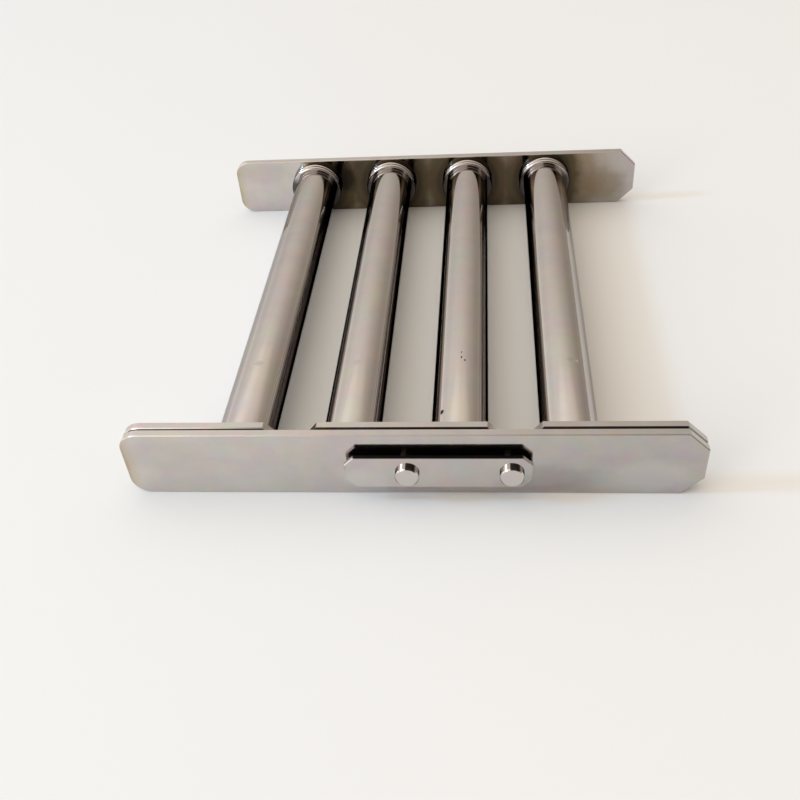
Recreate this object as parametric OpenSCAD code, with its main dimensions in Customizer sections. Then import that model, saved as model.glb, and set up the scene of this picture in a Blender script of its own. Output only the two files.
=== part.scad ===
// Magnetic grate separator whose magnet set draws out of its sleeves for cleaning.
// X runs across the plates, Y along the sleeves with the pull grip at the -Y end, and Z is up.
// The origin lies on the standing surface, below the middle of the whole grate.

/* [Plates] */
// Length of the three plates
plate_len = 250; // [240:1:320]
// Height of the three plates
plate_height = 34.5; // [33:0.5:60]
// Thickness of the three plates
plate_t = 4; // [3.5:0.5:8]
// Rounding of the corners at the left end of each plate
left_round = 8.5; // [3:0.5:14]
// Corner cut at the right end of each plate
right_cut = 9; // [2:0.5:14]
// Broken edge around the faces of the plates and the pull plate
edge_break = 0.4; // [0.2:0.1:0.6]
// Gap between the front plate and the sleeve plate
plate_gap = 0.8; // [0.4:0.1:3]

/* [Finger notches] */
// Width of a notch at the top edge of the sleeve plate
notch_top = 23.4; // [18:0.2:30]
// Width of a notch at its floor
notch_floor = 10; // [6:0.5:16]
// Depth of a notch
notch_depth = 8; // [5:0.5:12]

/* [Sleeves] */
// Number of sleeves, each with its own magnet core
sleeve_count = 4; // [2:1:5]
// Outside diameter of a sleeve
sleeve_od = 25.4; // [20:0.2:28]
// Wall of a sleeve
sleeve_wall = 1; // [0.6:0.1:2]
// Distance between neighbouring sleeves, centre to centre
sleeve_pitch = 47.8; // [40:0.2:56]
// Sideways shift of the sleeve row from the middle of the plates
row_shift = -2; // [-8:0.5:8]
// Distance between the sleeve plate and the rear plate
sleeve_span = 244; // [150:1:400]

/* [End caps] */
// How far the collar of a cap stands out from the sleeve
collar_rise = 2.8; // [2:0.1:3.6]
// Width of each of the two beads of a collar
bead_w = 2.8; // [2:0.2:4]
// Length of the spigot inside the sleeve
spigot_len = 8; // [6:0.5:20]
// Shank diameter of the screws that hold the caps
screw_d = 6; // [4:0.5:7]
// Length of screw inside a cap
screw_grip = 9; // [6:0.5:12]

/* [Magnet cores] */
// Clearance between a core and its sleeve, on the radius
core_clearance = 0.5; // [0.4:0.1:1]
// Wall of the can around the magnets
can_wall = 0.5; // [0.3:0.1:1]
// Length of the head plug in front of the can
head_len = 8; // [4:0.5:20]
// Depth of the head plug inside the can
head_depth = 4; // [2:0.5:10]
// Length of the nose plug behind the can
nose_len = 5; // [4:0.5:12]
// Least depth of the nose plug inside the can
nose_depth = 4; // [2:0.5:10]
// Lead-in bevel at the tip of the nose plug
nose_cut = 2.5; // [0.5:0.5:3.5]
// Length of a magnet
magnet_len = 22; // [10:1:40]
// Thickness of a pole disc
pole_t = 4; // [2:0.5:8]

/* [Pull grip] */
// Length of the pull plate
pull_len = 80; // [74:1:120]
// Height of the pull plate
pull_height = 17.6; // [16:0.2:24]
// Thickness of the pull plate
pull_t = 2; // [1.5:0.5:4]
// Corner cut of the pull plate
pull_cut = 4.4; // [1:0.2:6]
// Sideways place of the middle of the pull plate
pull_x = 13.2; // [-40:0.2:40]
// Drop of the pull plate below the middle of the plates
pull_drop = 0.4; // [0:0.1:3]
// Diameter of the head of a pull pin
pin_d = 10.4; // [8:0.2:13]
// How far the head of a pin stands out of the pull plate
pin_reach = 2.2; // [1.6:0.2:10]
// Bevel around the face of a pin's head
pin_bevel = 0.5; // [0.2:0.1:1]
// Distance between the two pins
pin_spacing = 44.4; // [30:0.2:46]
// Sideways place of the pins from the middle of the pull plate
pin_shift = 9; // [-9:0.2:9]
// Drop of the pins below the middle of the pull plate
pin_drop = 1; // [0:0.1:1.2]
// Diameter of the shank of a pin
shank_d = 6; // [4:0.5:7]
// Outside diameter of the spacers behind the pull plate
spacer_d = 13.6; // [10:0.2:15]
// Thickness of these spacers
spacer_t = 2.4; // [1:0.2:6]

/* [Fits] */
// Gap on the radius between pieces that are fitted into one another
fit_gap = 0.1; // [0.05:0.05:0.2]
// Gap between the tip of a core and the end cap that stops it
stop_gap = 0.3; // [0.2:0.1:1]
// Depth of a screw head below the outside of the rear plate
head_sink = 0.2; // [0.1:0.1:0.3]

/* [Hidden] */
$fn = 96;
// Length by which a cut runs past the face that it opens
over = 1;

// Places along Y, from the pins at the front to the rear plate
front_reach = spacer_t + pull_t + pin_reach;
total_depth = front_reach + 3 * plate_t + plate_gap + sleeve_span;
front_y = front_reach - total_depth / 2;
sleeve_plate_y = front_y + plate_t + plate_gap;
rear_y = sleeve_plate_y + plate_t + sleeve_span;
rear_back_y = rear_y + plate_t;
pull_y = front_y - spacer_t - pull_t;
mid_z = plate_height / 2;

// Sleeves and end caps
sleeve_r = sleeve_od / 2;
sleeve_inner_r = sleeve_r - sleeve_wall;
collar_len = 2 * bead_w;
cap_y = rear_y - collar_len;
spigot_y = cap_y - spigot_len;
hub_r = sleeve_r + collar_rise - bead_w / 2;
tap_depth = screw_grip + over;

// Countersunk screws with a right-angled head twice as wide as the shank
screw_r = screw_d / 2;
screw_head_r = screw_d;
screw_head_h = screw_head_r - screw_r;
key_flats = 0.6 * screw_d;
key_depth = 0.4 * screw_d;

// Magnet cores
can_r = sleeve_inner_r - core_clearance;
plug_r = can_r - can_wall - fit_gap;
core_y = front_y + plate_t;
core_tip_y = spigot_y - stop_gap;
can_y = core_y + head_len;
can_end_y = core_tip_y - nose_len;
stack_y = can_y + head_depth;
stack_room = can_end_y - nose_depth - stack_y;
stack_pitch = magnet_len + pole_t;
magnet_count = floor((stack_room - pole_t) / stack_pitch);
stack_end_y = stack_y + magnet_count * stack_pitch + pole_t;

// Pull grip
pull_z = mid_z - pull_drop;
pin_z = pull_z - pin_drop;
pin_left_x = pull_x + pin_shift - pin_spacing / 2;
pin_right_x = pin_left_x + pin_spacing;
shank_r = shank_d / 2;

plate_steel = "#b9b5ae";
sleeve_steel = "#cbc8c3";
turned_steel = "#c4c1bb";
can_steel = "#d2d2d0";
screw_steel = "#8d8c89";
magnet_nickel = "#a9aaa6";
pole_iron = "#6f7276";

// Sideways place of a sleeve, counted from 1 at the left
function sleeve_x(i) = row_shift + (i - (sleeve_count + 1) / 2) * sleeve_pitch;

// Sideways place of the middle between a sleeve and the next one
function gap_x(i) = (sleeve_x(i) + sleeve_x(i + 1)) / 2;

// Turns a shape that is built along Z so that it runs along Y from a given place
module along_y(x, y, z = mid_z) {
    translate([x, y, z])
        rotate([-90, 0, 0])
            children();
}

// Stands a lying plate upright, with its front face at a given place along Y
module upright(y, t, x = 0, z = mid_z) {
    translate([x, y + t, z])
        rotate([90, 0, 0])
            children();
}

// Rectangle with its corners cut off at 45 degrees
module cut_outline(length, height, cut) {
    right = length / 2;
    top = height / 2;
    polygon([
        [cut - right, -top],
        [right - cut, -top],
        [right, cut - top],
        [right, top - cut],
        [right - cut, top],
        [cut - right, top],
        [-right, top - cut],
        [-right, cut - top]
    ]);
}

// Outline of the three plates, with round corners at the left end and cut ones at the right end
module grate_outline() {
    hull() {
        for (side = [-1, 1])
            translate([left_round - plate_len / 2, side * (plate_height / 2 - left_round)])
                circle(r = left_round);
        intersection() {
            cut_outline(plate_len, plate_height, right_cut);
            translate([0, -plate_height / 2])
                square([plate_len, plate_height]);
        }
    }
}

// Plate with a broken edge around both faces, made from the outline that follows it
module broken_plate(t) {
    hull() {
        translate([0, 0, edge_break])
            linear_extrude(t - 2 * edge_break)
                children();
        linear_extrude(t)
            offset(delta = -edge_break)
                children();
    }
}

// One of the three plates, with its front face at a given place along Y
module grate_plate(y) {
    upright(y, plate_t)
        broken_plate(plate_t)
            grate_outline();
}

// Sloping-sided notch through the top edge of the sleeve plate
module finger_notch(x) {
    upright(sleeve_plate_y - over, plate_t + 2 * over, x, plate_height)
        linear_extrude(plate_t + 2 * over)
            polygon([
                [-notch_floor / 2, -notch_depth],
                [notch_floor / 2, -notch_depth],
                [notch_top / 2, 0],
                [notch_top / 2, over],
                [-notch_top / 2, over],
                [-notch_top / 2, 0]
            ]);
}

// Disc with a round hole, or a whole one where the hole has no radius
module ring(outer_r, inner_r, height) {
    difference() {
        cylinder(r = outer_r, h = height);
        translate([0, 0, -over])
            cylinder(r = inner_r, h = height + 2 * over);
    }
}

module rear_plate() {
    color(plate_steel)
        difference() {
            grate_plate(rear_y);
            for (i = [1:sleeve_count])
                along_y(sleeve_x(i), rear_y) {
                    translate([0, 0, -over])
                        cylinder(r = screw_r + fit_gap, h = plate_t + 2 * over);
                    translate([0, 0, plate_t - head_sink - screw_head_h])
                        cylinder(r1 = screw_r + fit_gap, r2 = screw_head_r + fit_gap, h = screw_head_h);
                    translate([0, 0, plate_t - head_sink])
                        cylinder(r = screw_head_r + fit_gap, h = head_sink + over);
                }
        }
}

module sleeve_plate() {
    color(plate_steel)
        difference() {
            grate_plate(sleeve_plate_y);
            for (i = [1:sleeve_count])
                along_y(sleeve_x(i), sleeve_plate_y - over)
                    cylinder(r = sleeve_r + fit_gap, h = plate_t + 2 * over);
            for (i = [1, sleeve_count - 1])
                finger_notch(gap_x(i));
        }
}

// Countersunk screw with a six-sided key socket, its tip at Z 0 and its head at the top
module rear_screw() {
    shank_len = screw_grip + plate_t - head_sink - screw_head_h;
    difference() {
        union() {
            cylinder(r = screw_r, h = shank_len);
            translate([0, 0, shank_len])
                cylinder(r1 = screw_r, r2 = screw_head_r, h = screw_head_h);
        }
        translate([0, 0, shank_len + screw_head_h - key_depth])
            cylinder(d = key_flats / cos(30), h = key_depth + over, $fn = 6);
    }
}

module rear_screws() {
    color(screw_steel)
        for (i = [1:sleeve_count])
            along_y(sleeve_x(i), rear_y - screw_grip)
                rear_screw();
}

module sleeve(i) {
    color(sleeve_steel)
        along_y(sleeve_x(i), sleeve_plate_y)
            ring(sleeve_r, sleeve_inner_r, cap_y - sleeve_plate_y);
}

// Turned cap: a spigot inside the sleeve and a collar of two round beads against the rear plate
module end_cap(i) {
    color(turned_steel)
        along_y(sleeve_x(i), spigot_y)
            difference() {
                union() {
                    cylinder(r = sleeve_inner_r - fit_gap, h = spigot_len + collar_len);
                    translate([0, 0, spigot_len])
                        cylinder(r = hub_r, h = collar_len);
                    for (bead = [0, 1])
                        translate([0, 0, spigot_len + (bead + 0.5) * bead_w])
                            rotate_extrude()
                                translate([hub_r, 0])
                                    circle(d = bead_w);
                }
                translate([0, 0, spigot_len + collar_len - tap_depth])
                    cylinder(r = screw_r + fit_gap, h = tap_depth + over);
            }
}

module front_plate() {
    color(plate_steel)
        difference() {
            grate_plate(front_y);
            for (x = [pin_left_x, pin_right_x])
                along_y(x, front_y - over, pin_z)
                    cylinder(r = shank_r + fit_gap, h = plate_t + 2 * over);
        }
}

module pull_plate() {
    color(plate_steel)
        difference() {
            upright(pull_y, pull_t, pull_x, pull_z)
                broken_plate(pull_t)
                    cut_outline(pull_len, pull_height, pull_cut);
            for (x = [pin_left_x, pin_right_x])
                along_y(x, pull_y - over, pin_z)
                    cylinder(r = shank_r + fit_gap, h = pull_t + 2 * over);
        }
}

// Turned pin: a thick bevelled head before the pull plate and a shank to the back of the front plate
module pull_pin(x) {
    color(turned_steel)
        along_y(x, pull_y - pin_reach, pin_z) {
            cylinder(r1 = pin_d / 2 - pin_bevel, r2 = pin_d / 2, h = pin_bevel);
            translate([0, 0, pin_bevel])
                cylinder(d = pin_d, h = pin_reach - pin_bevel);
            translate([0, 0, pin_reach])
                cylinder(r = shank_r, h = pull_t + spacer_t + plate_t);
        }
}

module pull_spacer(x) {
    color(turned_steel)
        along_y(x, front_y - spacer_t, pin_z)
            ring(spacer_d / 2, shank_r + fit_gap, spacer_t);
}

// Plug that closes the front of a can and carries the core on the back of the front plate
module core_head(i) {
    color(turned_steel)
        along_y(sleeve_x(i), core_y) {
            cylinder(r = can_r, h = head_len);
            cylinder(r = plug_r, h = head_len + head_depth);
        }
}

module core_can(i) {
    color(can_steel)
        along_y(sleeve_x(i), can_y)
            ring(can_r, can_r - can_wall, can_end_y - can_y);
}

module core_magnets(i) {
    color(magnet_nickel)
        for (k = [0:magnet_count - 1])
            along_y(sleeve_x(i), stack_y + pole_t + k * stack_pitch)
                cylinder(r = plug_r, h = magnet_len);
}

module core_poles(i) {
    color(pole_iron)
        for (k = [0:magnet_count])
            along_y(sleeve_x(i), stack_y + k * stack_pitch)
                cylinder(r = plug_r, h = pole_t);
}

// Plug that closes the rear of a can, with a bevelled tip that leads the core into its sleeve
module core_nose(i) {
    inside = can_end_y - stack_end_y;
    color(turned_steel)
        along_y(sleeve_x(i), stack_end_y) {
            cylinder(r = plug_r, h = inside + nose_len - nose_cut);
            translate([0, 0, inside])
                cylinder(r = can_r, h = nose_len - nose_cut);
            translate([0, 0, inside + nose_len - nose_cut])
                cylinder(r1 = can_r, r2 = can_r - nose_cut, h = nose_cut);
        }
}

rear_plate();
sleeve_plate();
rear_screws();
front_plate();
pull_plate();
pull_pin(pin_left_x);  // pull_pin_left
pull_pin(pin_right_x);  // pull_pin_right
pull_spacer(pin_left_x);  // pull_spacer_left
pull_spacer(pin_right_x);  // pull_spacer_right
for (i = [1:sleeve_count]) {
    sleeve(i);
    end_cap(i);
    core_head(i);
    core_can(i);
    core_magnets(i);
    core_poles(i);
    core_nose(i);
}
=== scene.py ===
"""Looks of an easy-clean magnetic grate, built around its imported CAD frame.

Four polished sleeves run between a rear plate and a notched sleeve plate. A second plate in
front carries the pull grip and four canned magnet cores, and draws out of the sleeves. Every
length is in metres, in the frame of the CAD model.
"""

from __future__ import annotations

import logging
import math
from dataclasses import dataclass, replace
from enum import Enum
from functools import cached_property
from typing import Iterable, Mapping, Sequence, Union

import bmesh
import bpy
from bmesh.types import BMesh
from bpy.types import Material, Node, NodeSocket, NodeTree, Object
from mathutils import Matrix, Vector


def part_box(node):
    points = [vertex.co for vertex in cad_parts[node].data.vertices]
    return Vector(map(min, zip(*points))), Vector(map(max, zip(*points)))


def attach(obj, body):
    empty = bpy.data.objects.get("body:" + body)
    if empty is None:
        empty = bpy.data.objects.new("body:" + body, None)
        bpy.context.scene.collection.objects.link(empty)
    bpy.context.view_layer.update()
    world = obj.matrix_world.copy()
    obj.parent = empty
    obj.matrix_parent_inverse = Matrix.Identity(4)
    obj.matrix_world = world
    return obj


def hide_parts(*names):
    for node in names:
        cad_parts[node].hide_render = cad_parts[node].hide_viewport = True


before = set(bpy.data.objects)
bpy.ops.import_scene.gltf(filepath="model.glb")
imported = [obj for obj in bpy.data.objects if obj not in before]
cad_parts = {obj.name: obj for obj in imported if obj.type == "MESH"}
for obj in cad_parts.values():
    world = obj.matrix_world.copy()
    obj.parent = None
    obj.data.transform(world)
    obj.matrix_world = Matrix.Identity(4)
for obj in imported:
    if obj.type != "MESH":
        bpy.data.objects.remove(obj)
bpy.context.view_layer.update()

LOG = logging.getLogger("grate")

# Meshes: corners closer than the gap become one, and edges that turn by more than an angle,
# in radians, are rounded as lips or shaded sharp.
MERGE_GAP = 1e-7
LIP_ANGLE = 1.0
SMOOTH_ANGLE = math.radians(35.0)

# Effects: the middle of a noise, the part of a mark that is full, the wander of a heat tint.
NOISE_MIDDLE = (0.5, 0.5, 0.5)
MARK_CORE = 0.55
BLOOM_WANDER = 0.5

Feed = Union[float, Sequence[float], NodeSocket]
Colour = tuple[float, float, float]
Point = tuple[float, float, float]

WHITE: Colour = (1.0, 1.0, 1.0)


class Body(Enum):
    """The two rigid bodies of the grate."""

    TUBE_FRAME = "tube_frame"
    MAGNET_SET = "magnet_set"


class Slot(Enum):
    """Names of three material slots, which no piece here is given."""

    SLEEVE = "sleeve_steel"
    TURNED = "turned_steel"
    CAN = "can_steel"


class Socket(Enum):
    """Kinds of socket on a shader node group."""

    VALUE = "NodeSocketFloat"
    POINT = "NodeSocketVector"
    COLOUR = "NodeSocketColor"


class Flank(Enum):
    """What a side of a sleeve looks at."""

    FACING = 0
    OPEN = 1


def rgba(colour: Sequence[float]) -> tuple[float, float, float, float]:
    """Gives a colour its alpha of one."""
    return (colour[0], colour[1], colour[2], 1.0)


class Board:
    """Adds nodes to one shader tree and wires them."""

    def __init__(self, tree: NodeTree) -> None:
        """Keeps the tree that the nodes go into.

        Args:
            tree: A material's, a world's or a group's node tree.
        """
        self.tree = tree

    def node(self, kind: str, **settings: object) -> Node:
        """Adds one node.

        Args:
            kind: The node's type name.
            **settings: Properties of the node.

        Returns:
            The new node.
        """
        made = self.tree.nodes.new(kind)
        for key, value in settings.items():
            setattr(made, key, value)
        return made

    def feed(self, socket: NodeSocket, value: Feed) -> None:
        """Wires a socket to another, or sets its plain value.

        Args:
            socket: The input to fill.
            value: An output socket, a number, a point or a colour.
        """
        if isinstance(value, NodeSocket):
            self.tree.links.new(value, socket)
        else:
            socket.default_value = value

    def fill(self, node: Node, values: Iterable[Feed]) -> None:
        """Feeds a node's inputs in order."""
        for socket, value in zip(node.inputs, values):
            self.feed(socket, value)

    def math(self, operation: str, *values: Feed) -> NodeSocket:
        """Adds a Math node.

        Args:
            operation: The node's operation.
            *values: Its inputs in order.

        Returns:
            The result's socket.
        """
        made = self.node("ShaderNodeMath", operation=operation)
        self.fill(made, values)
        return made.outputs[0]

    def vector(self, operation: str, *values: Feed) -> NodeSocket:
        """Adds a Vector Math node.

        Args:
            operation: The node's operation.
            *values: Its vector inputs in order.

        Returns:
            The result's socket, a value for LENGTH and a vector otherwise.
        """
        made = self.node("ShaderNodeVectorMath", operation=operation)
        self.fill(made, values)
        return made.outputs["Value" if operation == "LENGTH" else "Vector"]

    def mix(self, factor: Feed, first: Feed, second: Feed, blend: str = "MIX") -> NodeSocket:
        """Mixes two colours.

        Args:
            factor: Share of the second colour.
            first: Colour at a factor of zero.
            second: Colour at a factor of one.
            blend: The node's blend type.

        Returns:
            The mixed colour's socket.
        """
        made = self.node("ShaderNodeMix", data_type="RGBA", blend_type=blend)
        # The colour sockets come after those for values and vectors.
        self.feed(made.inputs[0], factor)
        self.feed(made.inputs[6], first)
        self.feed(made.inputs[7], second)
        return made.outputs[2]

    def remap(
        self, value: Feed, low: Feed, high: Feed, to_low: Feed = 0.0, to_high: Feed = 1.0
    ) -> NodeSocket:
        """Maps a range smoothly onto another and clamps it.

        Args:
            value: What is mapped.
            low: Value that gives to_low.
            high: Value that gives to_high.
            to_low: Result at the low end.
            to_high: Result at the high end.

        Returns:
            The mapped value's socket.
        """
        made = self.node("ShaderNodeMapRange", interpolation_type="SMOOTHSTEP")
        self.fill(made, (value, low, high, to_low, to_high))
        return made.outputs[0]

    def noise(self, place: Feed, scale: Feed, detail: float, roughness: float) -> Node:
        """Adds a noise texture.

        Args:
            place: Where it is read.
            scale: Waves per unit of place.
            detail: Number of finer layers.
            roughness: Weight of the finer layers.

        Returns:
            The noise node.
        """
        made = self.node("ShaderNodeTexNoise")
        self.feed(made.inputs["Vector"], place)
        self.feed(made.inputs["Scale"], scale)
        made.inputs["Detail"].default_value = detail
        made.inputs["Roughness"].default_value = roughness
        return made

    def split(self, place: Feed) -> tuple[NodeSocket, ...]:
        """Splits a point into its three values."""
        made = self.node("ShaderNodeSeparateXYZ")
        self.feed(made.inputs[0], place)
        return tuple(made.outputs)

    def join(self, x: Feed, y: Feed, z: Feed) -> NodeSocket:
        """Joins three values into a point."""
        made = self.node("ShaderNodeCombineXYZ")
        self.fill(made, (x, y, z))
        return made.outputs[0]

    def group(self, tree: NodeTree, **feeds: Feed) -> Node:
        """Places a node group.

        Args:
            tree: The group's tree.
            **feeds: Its inputs by name.

        Returns:
            The group's node.
        """
        made = self.node("ShaderNodeGroup", node_tree=tree)
        for name, value in feeds.items():
            self.feed(made.inputs[name], value)
        return made


def start_shader(material: Material) -> tuple[Board, Node, NodeSocket]:
    """Starts a material with one shader.

    Args:
        material: The material to set up.

    Returns:
        Its board, its shader and its Object coordinates.
    """
    material.use_nodes = True
    material.node_tree.nodes.clear()
    board = Board(material.node_tree)
    shader = board.node("ShaderNodeBsdfPrincipled")
    out = board.node("ShaderNodeOutputMaterial")
    board.feed(out.inputs["Surface"], shader.outputs["BSDF"])
    return board, shader, board.node("ShaderNodeTexCoord").outputs["Object"]


class Effects:
    """Surface effects that several finishes share, each one shader node group."""

    @staticmethod
    def start(
        name: str, result: str, kind: Socket, **inputs: Socket
    ) -> tuple[Board, Mapping[str, NodeSocket], NodeSocket]:
        """Starts a node group that reads a place and gives one result.

        Args:
            name: The group's name.
            result: Name of its result.
            kind: Kind of its result.
            **inputs: Its inputs beside the place, and their kinds.

        Returns:
            The group's board, the values that it is given and the socket of its result.
        """
        tree = bpy.data.node_groups.new(name, "ShaderNodeTree")
        for label, socket in {"Place": Socket.POINT, **inputs}.items():
            tree.interface.new_socket(name=label, in_out="INPUT", socket_type=socket.value)
        tree.interface.new_socket(name=result, in_out="OUTPUT", socket_type=kind.value)
        board = Board(tree)
        given = board.node("NodeGroupInput").outputs
        return board, given, board.node("NodeGroupOutput").inputs[result]

    @cached_property
    def fine_grain(self) -> NodeTree:
        """Drawn-out grain of rolled or rubbed metal, as a height."""
        board, given, result = self.start(
            "fine_grain", "Height", Socket.VALUE, Stretch=Socket.POINT
        )
        stretched = board.vector("MULTIPLY", given["Place"], given["Stretch"])
        grain = board.noise(stretched, scale=1.0, detail=4.0, roughness=0.62)
        board.feed(result, grain.outputs[0])
        return board.tree

    @cached_property
    def tint_mottle(self) -> NodeTree:
        """Soft drift of a metal's colour towards pink, grey and green."""
        board, given, result = self.start(
            "tint_mottle",
            "Color",
            Socket.COLOUR,
            Metal=Socket.COLOUR,
            Scale=Socket.VALUE,
            Amount=Socket.VALUE,
        )
        drift = board.noise(given["Place"], given["Scale"], detail=3.0, roughness=0.55)
        centred = board.vector("SUBTRACT", drift.outputs["Color"], NOISE_MIDDLE)
        amount = given["Amount"]
        shift = board.vector("MULTIPLY", centred, board.join(amount, amount, amount))
        gain = board.vector("ADD", shift, WHITE)
        board.feed(result, board.mix(1.0, given["Metal"], gain, "MULTIPLY"))
        return board.tree

    @cached_property
    def hand_haze(self) -> NodeTree:
        """Patches where hands and cloths have dulled the metal, as a mask."""
        board, given, result = self.start(
            "hand_haze",
            "Mask",
            Socket.VALUE,
            Stretch=Socket.POINT,
            From=Socket.VALUE,
            To=Socket.VALUE,
        )
        stretched = board.vector("MULTIPLY", given["Place"], given["Stretch"])
        patch = board.noise(stretched, scale=1.0, detail=5.0, roughness=0.6)
        board.feed(result, board.remap(patch.outputs[0], given["From"], given["To"]))
        return board.tree

    @cached_property
    def oval_mark(self) -> NodeTree:
        """One ragged mark of a given place and reach, as a mask."""
        board, given, result = self.start(
            "oval_mark",
            "Mask",
            Socket.VALUE,
            Centre=Socket.POINT,
            Reach=Socket.POINT,
            Ragged=Socket.VALUE,
        )
        offset = board.vector("SUBTRACT", given["Place"], given["Centre"])
        unit = board.vector("DIVIDE", offset, given["Reach"])
        wobble = board.noise(unit, scale=2.3, detail=3.0, roughness=0.6).outputs[0]
        length = board.vector("LENGTH", unit)
        uneven = board.math("MULTIPLY_ADD", wobble, given["Ragged"], length)
        board.feed(result, board.remap(uneven, 1.0, MARK_CORE))
        return board.tree

    @cached_property
    def nearest_axis(self) -> NodeTree:
        """Distance from the nearest of a row of axes that run from front to back."""
        board, given, result = self.start(
            "nearest_axis",
            "Distance",
            Socket.VALUE,
            First=Socket.VALUE,
            Pitch=Socket.VALUE,
            Last=Socket.VALUE,
            Height=Socket.VALUE,
        )
        x, _, z = board.split(given["Place"])
        along = board.math("SUBTRACT", x, given["First"])
        index = board.math("ROUND", board.math("DIVIDE", along, given["Pitch"]))
        held = board.math("MAXIMUM", board.math("MINIMUM", index, given["Last"]), 0.0)
        across = board.math("SUBTRACT", along, board.math("MULTIPLY", held, given["Pitch"]))
        rise = board.math("SUBTRACT", z, given["Height"])
        board.feed(result, board.vector("LENGTH", board.join(across, 0.0, rise)))
        return board.tree

    @cached_property
    def turned_lines(self) -> NodeTree:
        """Fine lines that a lathe leaves round an axis, as a height."""
        board, given, result = self.start(
            "turned_lines", "Height", Socket.VALUE, Distance=Socket.VALUE, Pitch=Socket.VALUE
        )
        along = board.split(given["Place"])[1]
        travel = board.math("ADD", given["Distance"], along)
        turns = board.math("DIVIDE", travel, given["Pitch"])
        wave = board.math("SINE", board.math("MULTIPLY", turns, math.tau))
        uneven = board.noise(board.join(turns, 0.0, 0.0), scale=0.37, detail=2.0, roughness=0.5)
        board.feed(result, board.math("MULTIPLY", wave, uneven.outputs[0]))
        return board.tree

    @cached_property
    def heat_bloom(self) -> NodeTree:
        """Straw and brown tint that heat leaves on steel, over a metal's colour."""
        board, given, result = self.start(
            "heat_bloom",
            "Color",
            Socket.COLOUR,
            Metal=Socket.COLOUR,
            Distance=Socket.VALUE,
            Hot=Socket.VALUE,
            Cold=Socket.VALUE,
            Brown=Socket.COLOUR,
            Straw=Socket.COLOUR,
        )
        ragged = board.noise(given["Place"], scale=90.0, detail=3.0, roughness=0.6).outputs[0]
        spread = board.math("SUBTRACT", given["Cold"], given["Hot"])
        wander = board.math("MULTIPLY_ADD", ragged, BLOOM_WANDER, -BLOOM_WANDER / 2.0)
        reach = board.math("MULTIPLY_ADD", wander, spread, given["Distance"])
        halfway = board.math("MULTIPLY_ADD", spread, 0.5, given["Hot"])
        straw = board.remap(reach, given["Cold"], halfway)
        brown = board.remap(reach, halfway, given["Hot"])
        pale = board.mix(straw, rgba(WHITE), given["Straw"])
        tint = board.mix(brown, pale, given["Brown"])
        board.feed(result, board.mix(1.0, given["Metal"], tint, "MULTIPLY"))
        return board.tree


@dataclass(frozen=True)
class Mark:
    """One small mark on a surface: where it is, how far it reaches and how it changes the metal."""

    centre: Point
    reach: Point
    tint: Colour
    strength: float
    ragged: float


@dataclass(frozen=True)
class AxisRow:
    """A row of parallel axes that run from front to back."""

    first: float
    pitch: float
    count: int
    height: float

    @property
    def last(self) -> float:
        """Place of the last axis across the grate."""
        return self.first + self.pitch * (self.count - 1)


@dataclass(frozen=True)
class Haze:
    """Dulled patches: their stretch, the noise that they lie between and the roughness they add."""

    stretch: Point
    levels: tuple[float, float]
    dulling: float


@dataclass(frozen=True)
class HeatTint:
    """Colours that heat leaves on steel, and how far from the heat they reach."""

    straw: Colour
    brown: Colour
    hot: float
    cold: float


@dataclass(frozen=True)
class Coat:
    """A material while its finish is laid on."""

    board: Board
    effects: Effects
    shader: Node
    place: NodeSocket

    def effect(self, tree: NodeTree, **feeds: Feed) -> NodeSocket:
        """Places a shared effect on the material's Object coordinates.

        Args:
            tree: The effect's node group.
            **feeds: The effect's other inputs by name.

        Returns:
            The socket of its result.
        """
        return self.board.group(tree, Place=self.place, **feeds).outputs[0]

    def grain(self, stretch: Point) -> NodeSocket:
        """Gives the height of a drawn-out grain."""
        return self.effect(self.effects.fine_grain, Stretch=stretch)

    def spot(self, mark: Mark) -> NodeSocket:
        """Gives one mark's share of the surface, from 0 to its strength."""
        mask = self.effect(
            self.effects.oval_mark, Centre=mark.centre, Reach=mark.reach, Ragged=mark.ragged
        )
        return self.board.math("MULTIPLY", mask, mark.strength)

    def from_axis(self, axes: AxisRow) -> NodeSocket:
        """Gives the distance from the nearest axis of a row."""
        return self.effect(
            self.effects.nearest_axis,
            First=axes.first,
            Pitch=axes.pitch,
            Last=float(axes.count - 1),
            Height=axes.height,
        )

    def bloom(self, metal: Feed, distance: Feed, tint: HeatTint) -> NodeSocket:
        """Lays a heat tint over a metal's colour.

        Args:
            metal: The metal's colour.
            distance: Distance from the heat.
            tint: The colours and their reach.

        Returns:
            The socket of the tinted colour.
        """
        return self.effect(
            self.effects.heat_bloom,
            Metal=metal,
            Distance=distance,
            Hot=tint.hot,
            Cold=tint.cold,
            Brown=rgba(tint.brown),
            Straw=rgba(tint.straw),
        )


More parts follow.
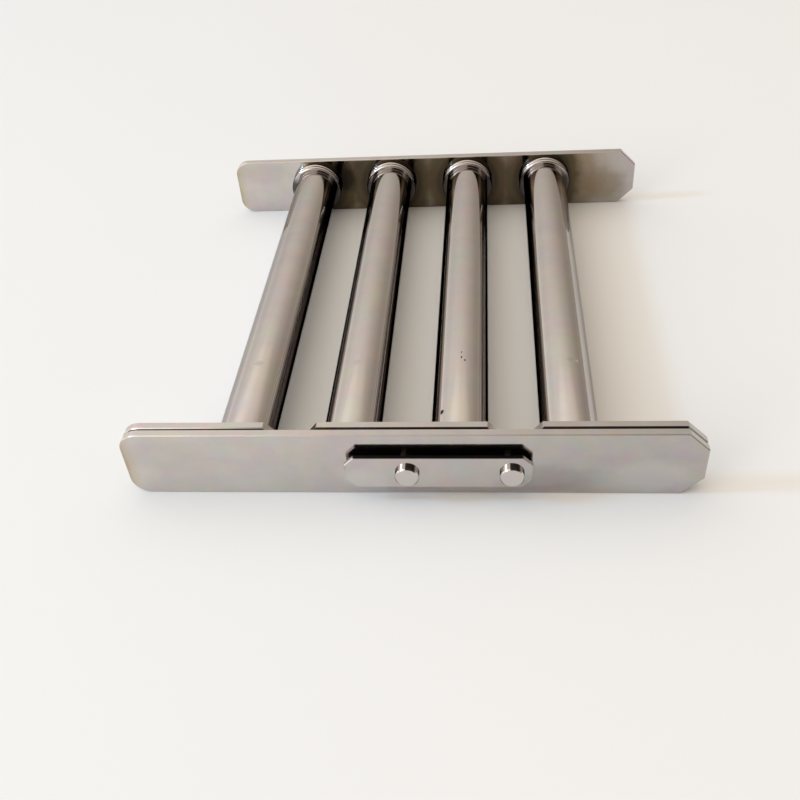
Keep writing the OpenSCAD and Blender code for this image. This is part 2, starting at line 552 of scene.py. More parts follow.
@dataclass(frozen=True)
class Finish:
    """A metal finish. Each kind lays its own detail on the coat that this one starts.

    The glance is its brightness at glancing angles, the mottle its drift of colour, the depth
    the height of its lines and the relief the share of them that shows.
    """

    name: str
    metal: Colour
    roughness: float
    glance: float = 1.0
    mottle: float = 0.08
    mottle_scale: float = 120.0
    haze: Haze = Haze((120.0, 120.0, 120.0), (0.42, 0.75), 0.06)
    depth: float = 0.00001
    relief: float = 0.3

    def material(self, effects: Effects) -> Material:
        """Builds the material of this finish.

        Args:
            effects: The shared node groups.

        Returns:
            The new material.
        """
        made = bpy.data.materials.new(self.name)
        board, shader, place = start_shader(made)
        shader.inputs["Metallic"].default_value = 1.0
        shader.inputs["Specular Tint"].default_value = rgba((self.glance,) * 3)
        self.detail(Coat(board, effects, shader, place))
        return made

    def detail(self, coat: Coat) -> None:
        """Lays this finish's own detail on the coat."""
        raise NotImplementedError

    def mottled(self, coat: Coat) -> NodeSocket:
        """Gives the metal's colour with its soft drift of tint."""
        return coat.effect(
            coat.effects.tint_mottle,
            Metal=rgba(self.metal),
            Scale=self.mottle_scale,
            Amount=self.mottle,
        )

    def hazed(self, coat: Coat) -> NodeSocket:
        """Gives the roughness with its dulled patches."""
        low, high = self.haze.levels
        mask = coat.effect(coat.effects.hand_haze, Stretch=self.haze.stretch, From=low, To=high)
        return coat.board.math("MULTIPLY_ADD", mask, self.haze.dulling, self.roughness)

    def wear(self, coat: Coat, colour: Feed, roughness: Feed, height: Feed) -> None:
        """Wires the colour, the roughness and the relief into the shader.

        Args:
            coat: The material's coat.
            colour: Colour of the metal.
            roughness: Its roughness.
            height: Height of its relief, from 0 to 1.
        """
        board = coat.board
        bump = board.node("ShaderNodeBump")
        bump.inputs["Strength"].default_value = self.relief
        bump.inputs["Distance"].default_value = self.depth
        board.feed(bump.inputs["Height"], height)
        for name, value in (
            ("Base Color", colour),
            ("Roughness", roughness),
            ("Normal", bump.outputs["Normal"]),
        ):
            board.feed(coat.shader.inputs[name], value)


@dataclass(frozen=True)
class PolishedSteel(Finish):
    """Mirror-polished tube with lengthwise polishing lines, haze and a few marks."""

    mottle: float = 0.24
    mottle_scale: float = 75.0
    haze: Haze = Haze((90.0, 45.0, 90.0), (0.5, 0.72), 0.07)
    relief: float = 0.12
    lines: Point = (900.0, 6.0, 900.0)
    line_dulling: float = 0.02
    marks: tuple[Mark, ...] = ()
    mark_dulling: float = 0.25

    def detail(self, coat: Coat) -> None:
        """Lays polishing lines, haze and marks on the coat.

        Args:
            coat: The material's coat.
        """
        board = coat.board
        colour = self.mottled(coat)
        dull: Feed = 0.0
        for mark in self.marks:
            share = coat.spot(mark)
            colour = board.mix(share, colour, rgba(mark.tint))
            dull = board.math("MAXIMUM", dull, share)
        lines = coat.grain(self.lines)
        rough = board.math("MULTIPLY_ADD", dull, self.mark_dulling, self.hazed(coat))
        rough = board.math("MULTIPLY_ADD", lines, self.line_dulling, rough)
        self.wear(coat, colour, rough, lines)


@dataclass(frozen=True)
class SheetSteel(Finish):
    """Bright rolled sheet with faint lines along its length, tinted at its left end and darkened
    towards its right end as painted shade.

    Each pair of lengths runs from no effect to the full effect.
    """

    mottle: float = 0.28
    mottle_scale: float = 105.0
    haze: Haze = Haze((45.0, 60.0, 60.0), (0.42, 0.75), 0.04)
    depth: float = 0.000004
    relief: float = 0.15
    grain: Point = (120.0, 2600.0, 2600.0)
    grain_dulling: float = 0.03
    half_length: float = 0.125
    # Painted shade: the metal darkens towards the right end, for darker reflections there.
    right_end_shade: Colour = (0.80, 0.81, 0.82)
    end_tint: HeatTint = HeatTint((0.98, 0.93, 0.83), (0.80, 0.71, 0.56), 0.0, 0.006)
    axes: AxisRow | None = None
    # The weld tint is heat tint set darker, so it also paints shade, the dark reflections between
    # the sleeves. The shade metal is painted shade beside each collar.
    weld_tint_and_shade: HeatTint = HeatTint((0.72, 0.65, 0.54), (0.26, 0.22, 0.15), 0.022, 0.046)
    shade_metal: Colour = (0.06, 0.05, 0.04)
    shade_reach: tuple[float, float] = (0.0215, 0.0175)
    shade_share: float = 0.7
    past_tint: float = 0.03
    left_fade: float = 0.013
    right_fade: tuple[float, float] = (0.013, 0.020)
    right_shift: float = 0.005
    clean_rim: tuple[float, float] = (0.0334, 0.0342)
    clean_back: tuple[float, float] = (0.1290, 0.1305)
    cut_edge: tuple[float, float] = (0.0339, 0.0341)
    cut_roughness: float = 0.34
    seam_y: float = -0.1207
    seam_reach: tuple[float, float] = (0.0008, 0.0010)
    marks: tuple[Mark, ...] = ()
    # Painted shade: a band of heights may wear a darker metal.
    shaded_top_edge: tuple[float, float] | None = None
    top_edge_shade_metal: Colour = (0.15, 0.14, 0.14)

    def detail(self, coat: Coat) -> None:
        """Lays rolling lines, haze, heat tint, painted shade, marks and satin cut edges on the
        coat.

        Args:
            coat: The material's coat.
        """
        board = coat.board
        across, along, rise = board.split(coat.place)
        # Painted shade: darker towards the right end, standing in for darker reflections.
        toward_right = board.remap(across, -self.half_length, self.half_length)
        right_end_dimming = board.mix(toward_right, rgba(WHITE), rgba(self.right_end_shade))
        metal = board.mix(1.0, self.mottled(coat), right_end_dimming, "MULTIPLY")
        from_end = board.math("ADD", across, self.half_length)
        colour = coat.bloom(metal, from_end, self.end_tint)
        if self.axes is not None:
            colour = self.tint_and_shade_collars(coat, colour, self.axes)
        for mark in self.marks:
            colour = board.mix(coat.spot(mark), colour, rgba(mark.tint))
        # Painted shade: the top edge darkens for the dark reflection of the gap behind it.
        if self.shaded_top_edge is not None:
            colour = board.mix(board.remap(rise, *self.shaded_top_edge), colour, rgba(self.top_edge_shade_metal))
        grain = coat.grain(self.grain)
        rough = board.math("MULTIPLY_ADD", grain, self.grain_dulling, self.hazed(coat))
        from_seam = board.math("ABSOLUTE", board.math("SUBTRACT", along, self.seam_y))
        satin = board.math(
            "MULTIPLY",
            board.remap(rise, *self.cut_edge, 0.0, self.cut_roughness),
            board.remap(from_seam, *self.seam_reach),
        )
        self.wear(coat, colour, board.math("ADD", rough, satin), grain)

    def tint_and_shade_collars(self, coat: Coat, metal: Feed, axes: AxisRow) -> NodeSocket:
        """Lays heat tint and painted shade on the inner face round a row of collars.

        The ends, the rim and the outer face count as further from the collars than they are.

        Args:
            coat: The material's coat.
            metal: Colour of the metal.
            axes: Axes of the collars.

        Returns:
            The socket of the tinted colour.
        """
        board = coat.board
        across, along, rise = board.split(coat.place)
        right_low, right_high = (axes.last + reach for reach in self.right_fade)
        away = board.remap(across, axes.first, axes.first - self.left_fade, 0.0, self.past_tint)
        for push in (
            board.remap(across, right_low, right_high, 0.0, self.right_shift),
            board.remap(rise, *self.clean_rim, 0.0, self.past_tint),
            board.remap(along, *self.clean_back, 0.0, self.past_tint),
        ):
            away = board.math("MAXIMUM", away, push)
        near = board.math("ADD", coat.from_axis(axes), away)
        # Heat tint, set darker than heat leaves it, so it also paints the dark reflections between
        # the sleeves.
        tinted = coat.bloom(metal, near, self.weld_tint_and_shade)
        # Painted shade: a near-black metal right beside each collar stands in for the collars' dark
        # reflection.
        shade = board.math("MULTIPLY", board.remap(near, *self.shade_reach), self.shade_share)
        return board.mix(shade, tinted, rgba(self.shade_metal))


@dataclass(frozen=True)
class TurnedSteel(Finish):
    """Lathe-turned steel with fine lines round its axis, and painted shade on its sides where a
    shaded side metal is given.
    """

    mottle: float = 0.10
    mottle_scale: float = 160.0
    haze: Haze = Haze((260.0, 260.0, 260.0), (0.45, 0.7), 0.08)
    depth: float = 0.0000008
    relief: float = 0.5
    axes: AxisRow = AxisRow(0.0, 1.0, 1, 0.0)
    pitch: float = 0.00028
    shaded_side_metal: Colour | None = None
    side_to_top: tuple[float, float] = (0.3, 0.7)

    def detail(self, coat: Coat) -> None:
        """Lays turning lines, a soft drift of tint and any painted shade of the sides on the coat.

        Args:
            coat: The material's coat.
        """
        board = coat.board
        colour = self.mottled(coat)
        distance = coat.from_axis(self.axes)
        if self.shaded_side_metal is not None:
            # Painted shade: the sides darken and the top stays bright, by the slope of the surface
            # from the axis.
            rise = board.math("SUBTRACT", board.split(coat.place)[2], self.axes.height)
            top = board.remap(board.math("DIVIDE", rise, distance), *self.side_to_top)
            colour = board.mix(top, rgba(self.shaded_side_metal), colour)
        lines = coat.effect(coat.effects.turned_lines, Distance=distance, Pitch=self.pitch)
        self.wear(coat, colour, self.hazed(coat), lines)


@dataclass(frozen=True)
class PlainMetal(Finish):
    """Plated, cast or drawn metal with a fine even grain."""

    grain: Point = (1800.0, 1800.0, 1800.0)
    grain_dulling: float = 0.08

    def detail(self, coat: Coat) -> None:
        """Lays an even grain and a soft drift of tint on the coat.

        Args:
            coat: The material's coat.
        """
        grain = coat.grain(self.grain)
        rough = coat.board.math("MULTIPLY_ADD", grain, self.grain_dulling, self.hazed(coat))
        self.wear(coat, self.mottled(coat), rough, grain)


SLEEVE_AXES = AxisRow(first=-0.0737, pitch=0.0478, count=4, height=0.01725)
PIN_AXES = AxisRow(first=0.0, pitch=0.0444, count=2, height=0.01585)
STEEL: Colour = (0.62, 0.58, 0.55)
# Painted shade: sleeve sides that face a neighbour wear this darker metal for their dark
# reflections.
SHADED_FLANK_STEEL: Colour = (0.28, 0.26, 0.25)
CAP_STEEL: Colour = (0.48, 0.44, 0.43)
# Painted shade: a near-black metal for the spacers in the dark gap behind the pull plate.
SHADED_SPACER_STEEL: Colour = (0.07, 0.065, 0.065)
SHEET: Colour = (0.60, 0.557, 0.53)
SHEET_ROUGHNESS = 0.08
# Heights of the pull plate's top edge, where a darker metal paints shade.
PULL_TOP_EDGE = (0.0251, 0.0253)
DARK_SPECK: Colour = (0.02, 0.018, 0.02)
DULL_SMEAR: Colour = (0.36, 0.32, 0.30)
PALE_SMEAR: Colour = (0.85, 0.82, 0.78)
# Darker and paler patches of tone; the darker one also serves as painted shade.
DARK_PATCH: Colour = (0.28, 0.25, 0.23)
PALE_PATCH: Colour = (0.68, 0.67, 0.66)
# Painted shade beside a collar, and a brown patch of tone.
COLLAR_SHADE: Colour = (0.03, 0.025, 0.02)
BROWN_PATCH: Colour = (0.20, 0.15, 0.08)

SLEEVE_MARKS = (
    Mark((0.01438, -0.10267, 0.02748), (0.0015, 0.0024, 0.0015), DARK_SPECK, 1.0, 0.4),
    Mark((0.02221, -0.06334, 0.02995), (0.0005, 0.0009, 0.0006), DARK_SPECK, 0.9, 0.3),
    Mark((0.02228, -0.06711, 0.02994), (0.0006, 0.0011, 0.0006), DARK_SPECK, 1.0, 0.3),
    Mark((0.02393, -0.06917, 0.02979), (0.0006, 0.0010, 0.0006), DARK_SPECK, 1.0, 0.3),
    Mark((-0.07295, -0.06999, 0.02993), (0.0046, 0.0038, 0.0046), DULL_SMEAR, 0.28, 0.7),
    Mark((-0.02632, -0.07002, 0.02994), (0.0036, 0.0040, 0.0036), DULL_SMEAR, 0.2, 0.7),
    Mark((0.07180, -0.06923, 0.02977), (0.0034, 0.0034, 0.0034), DULL_SMEAR, 0.3, 0.7),
    Mark((0.07499, -0.06952, 0.02880), (0.0014, 0.0020, 0.0016), PALE_SMEAR, 0.7, 0.6),
)

# The first mark is painted shade, the reflected shadow of the floor right of the pull plate. The
# others are darker and paler patches of tone.
FRONT_MARKS = (
    Mark((0.0590, -0.1262, 0.0085), (0.036, 0.020, 0.013), DARK_PATCH, 0.34, 0.4),
    Mark((0.1030, -0.1262, 0.0100), (0.028, 0.020, 0.015), PALE_PATCH, 0.34, 0.4),
    Mark((-0.0200, -0.1290, 0.0110), (0.020, 0.020, 0.013), PALE_PATCH, 0.38, 0.4),
    Mark((-0.0730, -0.1262, 0.0090), (0.026, 0.020, 0.013), PALE_PATCH, 0.24, 0.4),
    Mark((-0.1080, -0.1262, 0.0230), (0.030, 0.020, 0.016), DARK_PATCH, 0.12, 0.4),
)

# The first mark is painted shade, the dark reflection right of the first collar. The others darken
# the upper left end and brown the lower right end.
REAR_MARKS = (
    Mark((-0.0555, 0.1277, 0.0215), (0.012, 0.003, 0.014), COLLAR_SHADE, 0.8, 0.4),
    Mark((-0.1060, 0.1277, 0.0270), (0.030, 0.003, 0.013), DARK_PATCH, 0.18, 0.4),
    Mark((0.1060, 0.1277, 0.0130), (0.024, 0.003, 0.018), BROWN_PATCH, 0.5, 0.4),
)


class FinishBook:
    """Every finish of the grate, built once."""

    def __init__(self) -> None:
        """Builds the materials."""
        effects = Effects()
        sheet = SheetSteel("sheet_steel", SHEET, SHEET_ROUGHNESS)
        front = replace(sheet, name="front_sheet_steel", marks=FRONT_MARKS)
        pull = replace(front, name="pull_sheet_steel", shaded_top_edge=PULL_TOP_EDGE)
        rear = replace(sheet, name="rear_sheet_steel", axes=SLEEVE_AXES, marks=REAR_MARKS)
        # The facing flanks wear painted shade, a darker metal with no glance.
        facing = PolishedSteel("polished_sleeve_painted_shade_flank", SHADED_FLANK_STEEL, 0.06, 0.0, marks=SLEEVE_MARKS)
        opened = replace(facing, name="polished_sleeve_steel", metal=STEEL, glance=0.55)
        turned = TurnedSteel("turned_steel", (0.56, 0.52, 0.48), 0.05, 0.0, axes=SLEEVE_AXES)
        # Painted shade: the caps' sides wear a near-black metal under a brighter top.
        cap = replace(
            turned, name="cap_steel_painted_shade_sides", metal=CAP_STEEL, shaded_side_metal=(0.10, 0.09, 0.09)
        )
        pin = TurnedSteel("turned_pin_steel", STEEL, 0.06, 0.0, axes=PIN_AXES)
        # Painted shade: the spacers wear a near-black metal for the shade in the gap behind the
        # pull plate.
        spacer = replace(pin, name="spacer_steel_painted_shade", metal=SHADED_SPACER_STEEL, roughness=0.15)
        can = PlainMetal(
            "drawn_can_steel",
            (0.60, 0.57, 0.53),
            0.22,
            0.6,
            mottle=0.04,
            haze=Haze((120.0, 120.0, 120.0), (0.42, 0.75), 0.012),
            depth=0.0000006,
            grain=(2200.0, 12.0, 2200.0),
            grain_dulling=0.016,
        )
        weld = PlainMetal("weld_steel", (0.50, 0.45, 0.39), 0.3, mottle=0.3, depth=0.00002)
        pole = PlainMetal("pole_iron", (0.30, 0.29, 0.28), 0.45, depth=0.00003)
        self.plate = sheet.material(effects)
        self.front_plate = front.material(effects)
        self.pull_plate = pull.material(effects)
        self.rear_plate = rear.material(effects)
        self.flanks = {
            Flank.FACING: facing.material(effects),
            Flank.OPEN: opened.material(effects),
        }
        self.turned = turned.material(effects)
        self.cap = cap.material(effects)
        self.pin = pin.material(effects)
        self.spacer = spacer.material(effects)
        self.can = can.material(effects)
        self.screw = PlainMetal("plain_screw_steel", (0.52, 0.50, 0.47), 0.3).material(effects)
        self.weld = weld.material(effects)
        self.magnet = PlainMetal("nickel_plate", (0.60, 0.56, 0.49), 0.25).material(effects)
        self.pole = pole.material(effects)


@dataclass(frozen=True)
class Lathe:
    """Spins a profile of radius and length round an axis that runs from front to back.

    The axis lies at x across the grate and at height z, and a full turn has so many steps.
    """

    x: float
    z: float
    steps: int
    lip_band: float = 3.0
    lip_segments: int = 3

    def spin(self, profile: Sequence[tuple[float, float]]) -> BMesh:
        """Spins a closed profile into a ring.

        Args:
            profile: Corners as radius and place along the axis, in order.

        Returns:
            The spun mesh with its faces pointing outwards.
        """
        bm = bmesh.new()
        corners = [bm.verts.new((self.x, y, self.z + radius)) for radius, y in profile]
        edges = [bm.edges.new(pair) for pair in zip(corners, corners[1:] + corners[:1])]
        bmesh.ops.spin(
            bm,
            geom=corners + edges,
            cent=(self.x, 0.0, self.z),
            axis=(0.0, 1.0, 0.0),
            angle=math.tau,
            steps=self.steps,
            use_merge=True,
        )
        bmesh.ops.remove_doubles(bm, verts=bm.verts, dist=MERGE_GAP)
        bmesh.ops.recalc_face_normals(bm, faces=bm.faces)
        return bm

    def tube(self, radius: float, wall: float, front: float, back: float, lip: float) -> BMesh:
        """Spins a straight tube with rounded lips.

        Rings close to both lips keep the shading of the long wall straight.

        Args:
            radius: Outside radius.
            wall: Thickness of the wall.
            front: Place of the front end along the axis.
            back: Place of the back end along the axis.
            lip: Size of the rounding at the ends.

        Returns:
            The tube's mesh.
        """
        inner = radius - wall
        band = self.lip_band * lip
        stops = (front, front + band, back - band, back)
        profile = [(radius, y) for y in stops] + [(inner, y) for y in reversed(stops)]
        bm = self.spin(profile)
        self.round_lips(bm, lip)
        return bm

    def round_lips(self, bm: BMesh, radius: float) -> None:
        """Rounds every edge where two faces of a ring meet at a right angle.

        Args:
            bm: The spun mesh.
            radius: Size of the rounding.
        """
        shared = [edge for edge in bm.edges if len(edge.link_faces) == 2]
        bmesh.ops.bevel(
            bm,
            geom=[edge for edge in shared if edge.calc_face_angle() > LIP_ANGLE],
            offset=radius,
            offset_type="OFFSET",
            affect="EDGES",
            segments=self.lip_segments,
            profile=0.5,
            material=-1,
        )


def add_piece(
    name: str,
    bm: BMesh,
    materials: Iterable[Material],
    body: Body,
    replaces: Sequence[str] = (),
) -> Object:
    """Turns a mesh into a piece of the grate.

    Args:
        name: The piece's name.
        bm: Its mesh, in place. It is freed here.
        materials: Its materials in the order of the faces' indices.
        body: The body that it moves with.
        replaces: CAD nodes that it stands for.

    Returns:
        The new object.
    """
    mesh = bpy.data.meshes.new(name)
    bm.to_mesh(mesh)
    bm.free()
    mesh.polygons.foreach_set("use_smooth", [True] * len(mesh.polygons))
    mesh.set_sharp_from_angle(angle=SMOOTH_ANGLE)
    for material in materials:
        mesh.materials.append(material)
    piece = bpy.data.objects.new(name, mesh)
    bpy.context.scene.collection.objects.link(piece)
    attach(piece, body.value)
    if replaces:
        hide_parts(*replaces)
    LOG.info("piece %s on %s: %d faces", name, body.value, len(mesh.polygons))
    return piece


def dress(node: str, material: Material) -> None:
    """Gives a CAD node its finish.

    Args:
        node: The node's name.
        material: The finish for all its slots.
    """
    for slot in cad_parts[node].material_slots:
        slot.material = material
    LOG.info("node %s wears %s", node, material.name)


@dataclass
class WeldRing:
    """A small rippled weld where a tube meets a plate."""

    radius: float
    plate_y: float
    leg: float
    ripples: int
    steps_per_ripple: int = 4
    bite: float = 0.00005
    crown: float = 0.72
    shoulder: tuple[float, float] = (0.95, 0.35)
    swell: float = 0.06

    def mesh(self, x: float, z: float) -> BMesh:
        """Spins the weld and presses ripples into it.

        Args:
            x: Place of the tube's axis across the grate.
            z: Height of the axis.

        Returns:
            The weld's mesh.
        """
        inner = self.radius - self.bite
        back = self.plate_y - self.bite
        crown = self.leg * self.crown
        wide, low = (self.leg * share for share in self.shoulder)
        profile = (
            (inner, back),
            (self.radius + self.leg, back),
            (self.radius + wide, self.plate_y + low),
            (self.radius + crown, self.plate_y + crown),
            (self.radius + low, self.plate_y + wide),
            (inner, self.plate_y + self.leg),
        )
        bm = Lathe(x, z, self.ripples * self.steps_per_ripple).spin(profile)
        root = Vector((x, self.plate_y, z))
        for vert in bm.verts:
            arm = vert.co - root
            angle = math.atan2(arm.x, arm.z)
            swell = self.swell * self.leg * math.cos(angle * self.ripples)
            radial = Vector((arm.x, 0.0, arm.z))
            proud = min(1.0, max(0.0, (radial.length - self.radius) / self.leg))
            vert.co += radial.normalized() * swell * proud
        return bm


def axis_of(node: str) -> tuple[float, float]:
    """Reads the axis of a round CAD node from its box.

    Args:
        node: The node's name.

    Returns:
        The axis's place across the grate and its height.
    """
    low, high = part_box(node)
    return (low.x + high.x) / 2.0, (low.z + high.z) / 2.0


@dataclass
class SleeveRow:
    """The four polished sleeves, their welds and the turned caps behind them.

    A side that faces another sleeve wears painted shade from its seam to its foot, both in
    degrees from the top: a darker metal that stands in for its dark reflections of the gap.
    """

    book: FinishBook
    count: int = 4
    radius: float = 0.0127
    wall: float = 0.001
    lip: float = 0.00022
    steps: int = 160
    weld_leg: float = 0.0012
    weld_ripples: int = 56
    left_seam: float = 55.0
    right_seam: float = 64.0
    left_foot: tuple[float, ...] = (90.0, 80.0, 82.0, 86.0)
    right_foot: tuple[float, ...] = (170.0, 96.0, 80.0, 90.0)

    def build(self) -> None:
        """Builds and dresses the row."""
        for index in range(1, self.count + 1):
            self.sleeve(index)
            self.weld(index)
            dress(f"end_cap_{index}", self.book.cap)

    def flank(self, index: int, tilt: float) -> Flank:
        """Tells what a strip of a sleeve looks at.

        Args:
            index: Number of the sleeve from the left, from 1.
            tilt: Angle of the strip from the top, positive to the right, in degrees.

        Returns:
            FACING between the seam and the foot on a side with a neighbour, or else OPEN.
        """
        if tilt < 0.0:
            neighbour, seam, foot = index - 1, self.left_seam, self.left_foot[index - 1]
        else:
            neighbour, seam, foot = index + 1, self.right_seam, self.right_foot[index - 1]
        if 1 <= neighbour <= self.count and seam <= abs(tilt) <= foot:
            return Flank.FACING
        return Flank.OPEN

    def sleeve(self, index: int) -> None:
        """Spins one sleeve with rounded lips.

        Args:
            index: Number of the sleeve from the left.
        """
        node = f"sleeve_{index}"
        low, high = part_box(node)
        x, z = axis_of(node)
        bm = Lathe(x, z, self.steps).tube(self.radius, self.wall, low.y, high.y, self.lip)
        for face in bm.faces:
            spot = face.calc_center_median()
            tilt = math.degrees(math.atan2(spot.x - x, spot.z - z))
            face.material_index = self.flank(index, tilt).value
        materials = [self.book.flanks[side] for side in Flank]
        add_piece(f"polished_sleeve_{index}", bm, materials, Body.TUBE_FRAME, [node])

    def weld(self, index: int) -> None:
        """Lays the weld between one sleeve and the back of the sleeve plate.

        Args:
            index: Number of the sleeve from the left.
        """
        plate_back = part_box("sleeve_plate")[1].y
        ring = WeldRing(self.radius, plate_back, self.weld_leg, self.weld_ripples)
        bm = ring.mesh(*axis_of(f"sleeve_{index}"))
        add_piece(f"sleeve_weld_{index}", bm, [self.book.weld], Body.TUBE_FRAME)


@dataclass
class CoreRow:
    """The four magnet cores that slide in the sleeves."""

    book: FinishBook
    count: int = 4
    wall: float = 0.0005
    lip: float = 0.00012
    steps: int = 128
    weld_leg: float = 0.0005
    weld_ripples: int = 64

    def build(self) -> None:
        """Builds and dresses the row."""
        for index in range(1, self.count + 1):
            self.can(index)
            self.weld(index)
            dress(f"core_head_{index}", self.book.turned)
            dress(f"core_nose_{index}", self.book.turned)
            dress(f"core_magnets_{index}", self.book.magnet)
            dress(f"core_poles_{index}", self.book.pole)

    def can(self, index: int) -> None:
        """Spins the thin can round one magnet stack.

        Args:
            index: Number of the core from the left.
        """
        node = f"core_can_{index}"
        low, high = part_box(node)
        radius = (high.x - low.x) / 2.0
        lathe = Lathe(*axis_of(node), self.steps)
        bm = lathe.tube(radius, self.wall, low.y, high.y, self.lip)
        add_piece(f"drawn_can_{index}", bm, [self.book.can], Body.MAGNET_SET, [node])

    def weld(self, index: int) -> None:
        """Lays the weld between one core head and the back of the front plate.

        Args:
            index: Number of the core from the left.
        """
        head = f"core_head_{index}"
        low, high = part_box(head)
        plate_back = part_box("front_plate")[1].y
        radius = (high.x - low.x) / 2.0
        ring = WeldRing(radius, plate_back, self.weld_leg, self.weld_ripples)
        bm = ring.mesh(*axis_of(head))
        add_piece(f"core_weld_{index}", bm, [self.book.weld], Body.MAGNET_SET)


@dataclass
class GratePlates:
    """The three long plates and the screws in the rear one."""

    book: FinishBook

    def build(self) -> None:
        """Dresses the plates and the screws."""
        dress("rear_plate", self.book.rear_plate)
        dress("sleeve_plate", self.book.plate)
        dress("front_plate", self.book.front_plate)
        dress("rear_screws", self.book.screw)


@dataclass
class PullGrip:
    """The small pull plate, its two pins and the spacers behind it."""

    book: FinishBook
    sides: tuple[str, str] = ("left", "right")

    def build(self) -> None:
        """Dresses the grip."""
        dress("pull_plate", self.book.pull_plate)
        for side in self.sides:
            dress(f"pull_pin_{side}", self.book.pin)
            dress(f"pull_spacer_{side}", self.book.spacer)


@dataclass(frozen=True)
class Panel:
    """One soft panel lamp: its aim from the grate, distance, size, power and colour."""

    name: str
    aim: Point
    away: float
    size: tuple[float, float]
    watts: float
    colour: Colour


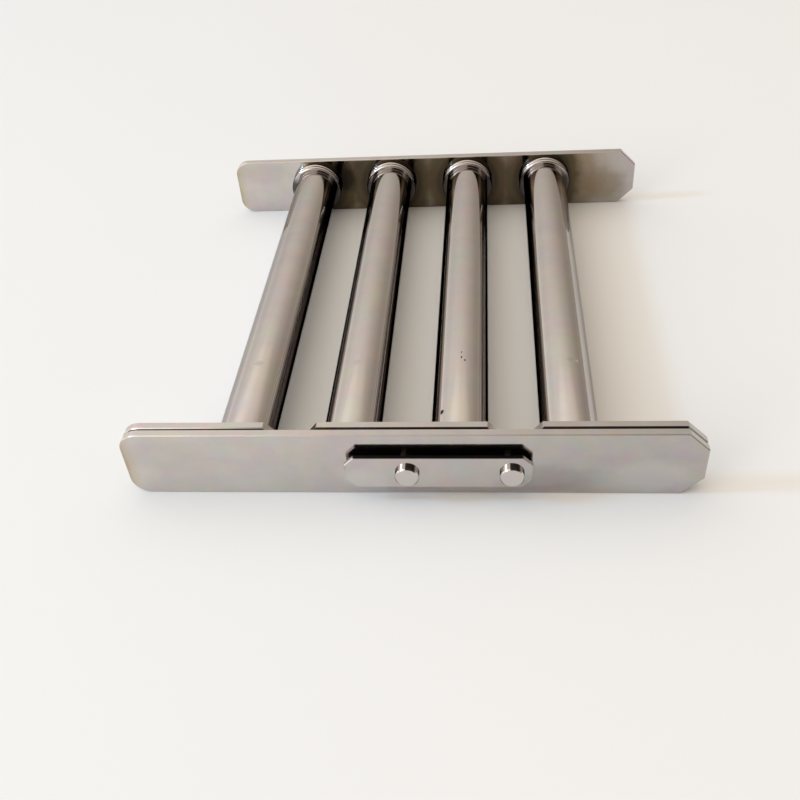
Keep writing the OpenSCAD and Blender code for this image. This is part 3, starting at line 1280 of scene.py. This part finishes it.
@dataclass
class Studio:
    """Pale floor, soft light and the camera of the photograph.

    The sky holds levels at degrees over the horizon. Each pair of values runs from no effect
    to the full effect.
    """

    camera_at: Point = (0.035281, -0.405173, 0.296156)
    yaw: float = -7.3226
    pitch: float = 40.6185
    roll: float = -5.1467
    lens: float = 41.641
    sensor: float = 36.0
    nearest: float = 0.01
    floor_size: float = 12.0
    floor_colour: Colour = (0.86, 0.86, 0.86)
    floor_shade: float = 0.985
    floor_drift: float = 2.5
    floor_roughness: float = 0.85
    floor_gloss: float = 0.1
    panels: tuple[Panel, ...] = (
        Panel("key_lamp", (-0.83, -0.07, 0.51), 4.0, (0.48, 0.48), 46.0, (0.30, 0.62, 1.0)),
        Panel("front_window", (-0.61, -0.71, 0.335), 3.0, (0.8, 0.75), 7.0, (1.0, 0.98, 0.95)),
        Panel("front_fill", (-0.6, -0.55, 0.58), 1.3, (0.5, 0.4), 1.2, WHITE),
    )
    panel_focus: Point = (0.0, 0.0, 0.017)
    sky: tuple[tuple[float, float], ...] = (
        (0.0, 0.85),
        (6.0, 0.79),
        (12.0, 0.69),
        (20.0, 0.71),
        (27.0, 0.80),
        (33.0, 0.86),
        (40.0, 1.0),
        (50.0, 0.96),
        (65.0, 1.04),
        (78.0, 1.3),
        (90.0, 1.4),
    )
    sky_slope: float = -0.6
    sky_depth: float = -0.2
    left_tint: Colour = (1.0, 0.97, 0.94)
    right_tint: Colour = (1.0, 0.86, 0.72)
    zenith_tint: Colour = (1.0, 0.90, 0.75)
    zenith_rise: tuple[float, float] = (0.5, 0.72)
    curtain_level: float = 0.05
    curtain_edge: tuple[float, float] = (0.38, 0.50)
    curtain_depth: tuple[float, float] = (-0.45, -0.60)
    curtain_foot: tuple[float, float] = (0.10, 0.22)
    ceiling_gain: float = 0.14
    ceiling_line: tuple[float, float] = (0.82, 0.87)
    ceiling_slant: float = 0.24
    ceiling_front: tuple[float, float] = (0.2, 0.4)
    least_depth: float = 0.01

    def build(self) -> None:
        """Sets up the floor, the light and the camera."""
        bpy.context.scene.view_settings.view_transform = "Standard"
        self.camera()
        self.floor()
        self.world()
        for panel in self.panels:
            self.lamp(panel)

    def camera(self) -> None:
        """Places the camera where the photograph was taken from."""
        data = bpy.data.cameras.new("photo_camera")
        data.lens = self.lens
        data.sensor_width = self.sensor
        data.clip_start = self.nearest
        yaw, pitch, roll = (math.radians(angle) for angle in (self.yaw, self.pitch, self.roll))
        ahead = Vector(
            (math.sin(yaw) * math.cos(pitch), math.cos(yaw) * math.cos(pitch), -math.sin(pitch))
        )
        right = Vector((math.cos(yaw), -math.sin(yaw), 0.0))
        up = right.cross(ahead)
        tilted_right = right * math.cos(roll) + up * math.sin(roll)
        tilted_up = up * math.cos(roll) - right * math.sin(roll)
        turn = Matrix((tilted_right, tilted_up, -ahead)).transposed()
        camera = bpy.data.objects.new("photo_camera", data)
        camera.matrix_world = Matrix.Translation(self.camera_at) @ turn.to_4x4()
        bpy.context.scene.collection.objects.link(camera)
        bpy.context.scene.camera = camera

    def floor(self) -> None:
        """Lays the pale floor under the grate."""
        bm = bmesh.new()
        bmesh.ops.create_grid(bm, x_segments=1, y_segments=1, size=self.floor_size / 2.0)
        mesh = bpy.data.meshes.new("floor")
        bm.to_mesh(mesh)
        bm.free()
        material = bpy.data.materials.new("pale_floor")
        board, shader, place = start_shader(material)
        shader.inputs["Roughness"].default_value = self.floor_roughness
        shader.inputs["Specular IOR Level"].default_value = self.floor_gloss
        drift = board.noise(place, self.floor_drift, detail=2.0, roughness=0.5)
        shade = tuple(channel * self.floor_shade for channel in self.floor_colour)
        colour = board.mix(drift.outputs[0], rgba(shade), rgba(self.floor_colour))
        board.feed(shader.inputs["Base Color"], colour)
        mesh.materials.append(material)
        floor = bpy.data.objects.new("floor", mesh)
        bpy.context.scene.collection.objects.link(floor)

    def world(self) -> None:
        """Makes the soft light from all round."""
        world = bpy.data.worlds.new("soft_room")
        bpy.context.scene.world = world
        world.use_nodes = True
        world.node_tree.nodes.clear()
        board = Board(world.node_tree)
        aim = board.split(board.node("ShaderNodeTexCoord").outputs["Generated"])
        x, y, z = aim
        rise = board.math("ARCSINE", board.math("MAXIMUM", z, 0.0))
        height = board.math("DIVIDE", rise, math.pi / 2.0)
        sideways = board.math("MULTIPLY", x, self.sky_slope)
        lean = board.math("MULTIPLY_ADD", y, self.sky_depth, sideways)
        gain = board.math("MULTIPLY", self.curtain(board, aim), self.ceiling(board, aim))
        side = board.remap(x, -1.0, 1.0)
        level_tint = board.mix(side, rgba(self.left_tint), rgba(self.right_tint))
        overhead = board.remap(height, *self.zenith_rise)
        tint = board.mix(overhead, level_tint, rgba(self.zenith_tint))
        light = board.mix(1.0, self.sky_level(board, height), tint, "MULTIPLY")
        back = board.node("ShaderNodeBackground")
        board.feed(back.inputs["Color"], light)
        strength = board.math("MULTIPLY", board.math("EXPONENT", lean), gain)
        board.feed(back.inputs["Strength"], strength)
        out = board.node("ShaderNodeOutputWorld")
        board.feed(out.inputs["Surface"], back.outputs[0])

    def sky_level(self, board: Board, height: Feed) -> NodeSocket:
        """Gives the level of the light from the horizon up.

        Args:
            board: The world's board.
            height: Angle over the horizon, with 1 for straight up.

        Returns:
            The socket of the level, as a grey.
        """
        ramp = board.node("ShaderNodeValToRGB")
        board.feed(ramp.inputs[0], height)
        stops = ramp.color_ramp.elements
        while len(stops) < len(self.sky):
            stops.new(0.5)
        for stop, (degrees, level) in zip(stops, self.sky):
            stop.position = degrees / 90.0
            stop.color = rgba((level,) * 3)
        return ramp.outputs[0]

    def curtain(self, board: Board, aim: Sequence[NodeSocket]) -> NodeSocket:
        """Gives the share of the light that a dark curtain in front lets by.

        Args:
            board: The world's board.
            aim: The three values of the direction.

        Returns:
            The socket of the share.
        """
        x, y, z = aim
        front_right = board.remap(board.math("ADD", x, z), *self.curtain_edge)
        raised = board.math("MULTIPLY", front_right, board.remap(z, *self.curtain_foot))
        cover = board.math("MULTIPLY", raised, board.remap(y, *self.curtain_depth))
        return board.math("MULTIPLY_ADD", cover, self.curtain_level - 1.0, 1.0)

    def ceiling(self, board: Board, aim: Sequence[NodeSocket]) -> NodeSocket:
        """Gives the gain of a bright ceiling panel behind the grate.

        Args:
            board: The world's board.
            aim: The three values of the direction.

        Returns:
            The socket of the gain.
        """
        x, y, z = aim
        depth = board.math("MAXIMUM", y, self.least_depth)
        slant = board.math("MULTIPLY_ADD", board.math("ABSOLUTE", x), self.ceiling_slant, z)
        above = board.remap(board.math("DIVIDE", slant, depth), *self.ceiling_line)
        panel = board.math("MULTIPLY", above, board.remap(y, *self.ceiling_front))
        return board.math("MULTIPLY_ADD", panel, self.ceiling_gain, 1.0)

    def lamp(self, panel: Panel) -> None:
        """Hangs one soft panel lamp that looks at the grate.

        Args:
            panel: The lamp to hang.
        """
        data = bpy.data.lights.new(panel.name, "AREA")
        data.shape = "RECTANGLE"
        data.size, data.size_y = panel.size
        data.energy = panel.watts
        data.color = panel.colour
        direction = Vector(panel.aim).normalized()
        lamp = bpy.data.objects.new(panel.name, data)
        turn = direction.to_track_quat("Z", "Y").to_matrix().to_4x4()
        place = Vector(self.panel_focus) + direction * panel.away
        lamp.matrix_world = Matrix.Translation(place) @ turn
        lamp.visible_camera = False
        bpy.context.scene.collection.objects.link(lamp)


def main() -> None:
    """Builds the studio and the grate in order."""
    logging.basicConfig(level=logging.INFO, format="%(name)s: %(message)s")
    Studio().build()
    book = FinishBook()
    for assembly in (GratePlates(book), SleeveRow(book), CoreRow(book), PullGrip(book)):
        assembly.build()


if __name__ == "__main__":
    main()
